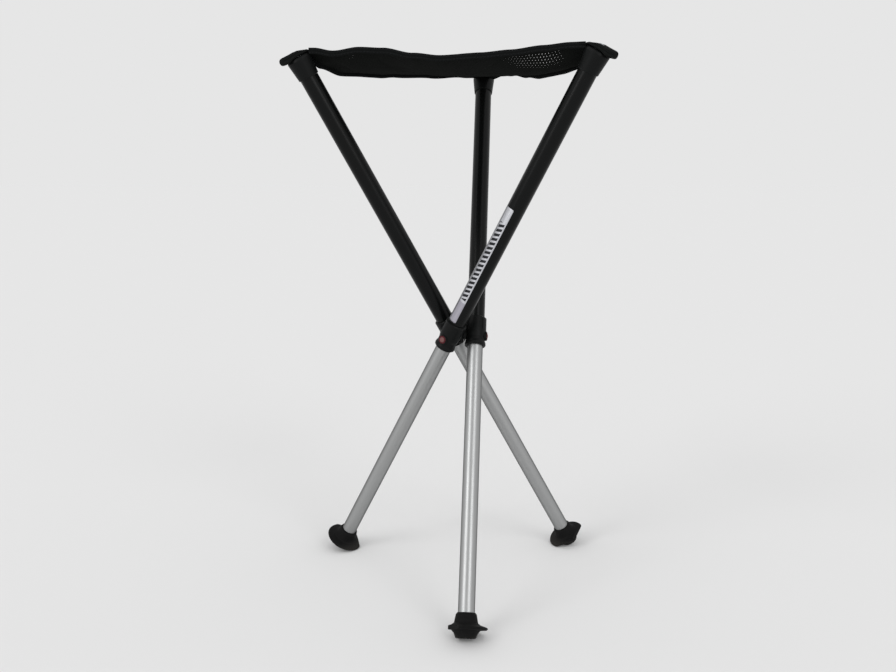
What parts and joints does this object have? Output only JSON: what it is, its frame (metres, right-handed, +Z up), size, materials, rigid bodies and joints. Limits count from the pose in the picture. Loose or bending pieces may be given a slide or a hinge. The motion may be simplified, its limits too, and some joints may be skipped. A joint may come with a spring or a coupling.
{
  "type": "folding tripod stool",
  "caption": "Collapsible stool with telescopic tripod legs crossing at a central hub and a sagging triangular mesh seat hung from the leg tops.",
  "frame": {"origin": "on the floor, below the hub: the stool's vertical axis of three-fold symmetry meets the floor there", "axes": "+Z up; +X is the direction of leg 1's pivot axis, outwards from the hub; legs 2 and 3 follow at 120 and 240 degrees"},
  "size_m": [0.4259, 0.4709, 0.75],
  "materials": {
    "hub_plastic": "moulded, fine grain",
    "washer_plastic": "natural acetal",
    "steel": "zinc plated",
    "black_tube": "satin black anodised aluminium",
    "collar_plastic": "moulded, fine grain",
    "guide_plastic": "acetal",
    "red_ring": "moulded, red",
    "button_plastic": "moulded, pale",
    "cap_plastic": "moulded, fine grain",
    "webbing": "woven webbing, folded",
    "silver_tube": "satin natural anodised",
    "foot_rubber": "moulded rubber",
    "mesh_fabric": "open polyester mesh",
    "hem_fabric": "bound polyester hem"
  },
  "bodies": {
    "hub_body": {"hub": "hub_plastic", "pivot_washer_1": "washer_plastic", "pivot_washer_2": "washer_plastic", "pivot_washer_3": "washer_plastic", "pivot_screw_1": "steel", "pivot_screw_2": "steel", "pivot_screw_3": "steel"},
    "upper_leg_1": {"outer_tube_1": "black_tube", "collar_1": "collar_plastic", "guide_ring_1": "guide_plastic", "button_ring_1": "red_ring", "leg_cap_1": "cap_plastic", "corner_tab_1": "webbing", "tab_screw_1": "steel"},
    "lower_leg_1": {"inner_tube_1": "silver_tube", "slide_bush_1": "guide_plastic", "snap_clip_1": "steel", "foot_plug_1": "guide_plastic", "foot_1": "foot_rubber"},
    "button_1": {"lock_button_1": "button_plastic"},
    "upper_leg_2": {"outer_tube_2": "black_tube", "collar_2": "collar_plastic", "guide_ring_2": "guide_plastic", "button_ring_2": "red_ring", "leg_cap_2": "cap_plastic", "corner_tab_2": "webbing", "tab_screw_2": "steel"},
    "lower_leg_2": {"inner_tube_2": "silver_tube", "slide_bush_2": "guide_plastic", "snap_clip_2": "steel", "foot_plug_2": "guide_plastic", "foot_2": "foot_rubber"},
    "button_2": {"lock_button_2": "button_plastic"},
    "upper_leg_3": {"outer_tube_3": "black_tube", "collar_3": "collar_plastic", "guide_ring_3": "guide_plastic", "button_ring_3": "red_ring", "leg_cap_3": "cap_plastic", "corner_tab_3": "webbing", "tab_screw_3": "steel"},
    "lower_leg_3": {"inner_tube_3": "silver_tube", "slide_bush_3": "guide_plastic", "snap_clip_3": "steel", "foot_plug_3": "guide_plastic", "foot_3": "foot_rubber"},
    "button_3": {"lock_button_3": "button_plastic"},
    "seat": {"seat_panel": "mesh_fabric", "seat_hem_1": "hem_fabric", "seat_hem_2": "hem_fabric", "seat_hem_3": "hem_fabric"}
  },
  "joints": [
    {"name": "leg_1_fold", "type": "hinge", "parent": "hub_body", "child": "upper_leg_1", "pos_m": [0.0235, 0, 0.36291], "axis": [1, 0, 0], "range_deg": [0, 30.4]},
    {"name": "leg_1_telescope", "type": "slide", "parent": "upper_leg_1", "child": "lower_leg_1", "axis": [0, 0.506, 0.8625], "range_m": [0, 0.355]},
    {"name": "button_1_press", "type": "slide", "parent": "upper_leg_1", "child": "button_1", "axis": [-1, 0, 0], "range_m": [0, 0.0018], "stiffness_N_per_m": 600, "springref_m": -0.002},
    {"name": "leg_2_fold", "type": "hinge", "parent": "hub_body", "child": "upper_leg_2", "pos_m": [-0.01175, 0.02035, 0.36291], "axis": [-0.5, 0.866, 0], "range_deg": [0, 30.4]},
    {"name": "leg_2_telescope", "type": "slide", "parent": "upper_leg_2", "child": "lower_leg_2", "axis": [-0.4382, -0.253, 0.8625], "range_m": [0, 0.355]},
    {"name": "button_2_press", "type": "slide", "parent": "upper_leg_2", "child": "button_2", "axis": [0.5, -0.866, 0], "range_m": [0, 0.0018], "stiffness_N_per_m": 600, "springref_m": -0.002},
    {"name": "leg_3_fold", "type": "hinge", "parent": "hub_body", "child": "upper_leg_3", "pos_m": [-0.01175, -0.02035, 0.36291], "axis": [-0.5, -0.866, 0], "range_deg": [0, 30.4]},
    {"name": "leg_3_telescope", "type": "slide", "parent": "upper_leg_3", "child": "lower_leg_3", "axis": [0.4382, -0.253, 0.8625], "range_m": [0, 0.355]},
    {"name": "button_3_press", "type": "slide", "parent": "upper_leg_3", "child": "button_3", "axis": [0.5, 0.866, 0], "range_m": [0, 0.0018], "stiffness_N_per_m": 600, "springref_m": -0.002},
    {"name": "seat_rise", "type": "slide", "parent": "hub_body", "child": "seat", "axis": [0, 0, 1], "range_m": [0, 0.086], "deforming": ["seat_panel", "seat_hem_1", "seat_hem_2", "seat_hem_3"]}
  ],
  "couplings": [
    {"joint": "leg_2_fold", "follows": "leg_1_fold", "ratio": 1},
    {"joint": "leg_3_fold", "follows": "leg_1_fold", "ratio": 1},
    {"joint": "seat_rise", "follows": "leg_1_fold", "m_per_rad": 0.16114}
  ]
}
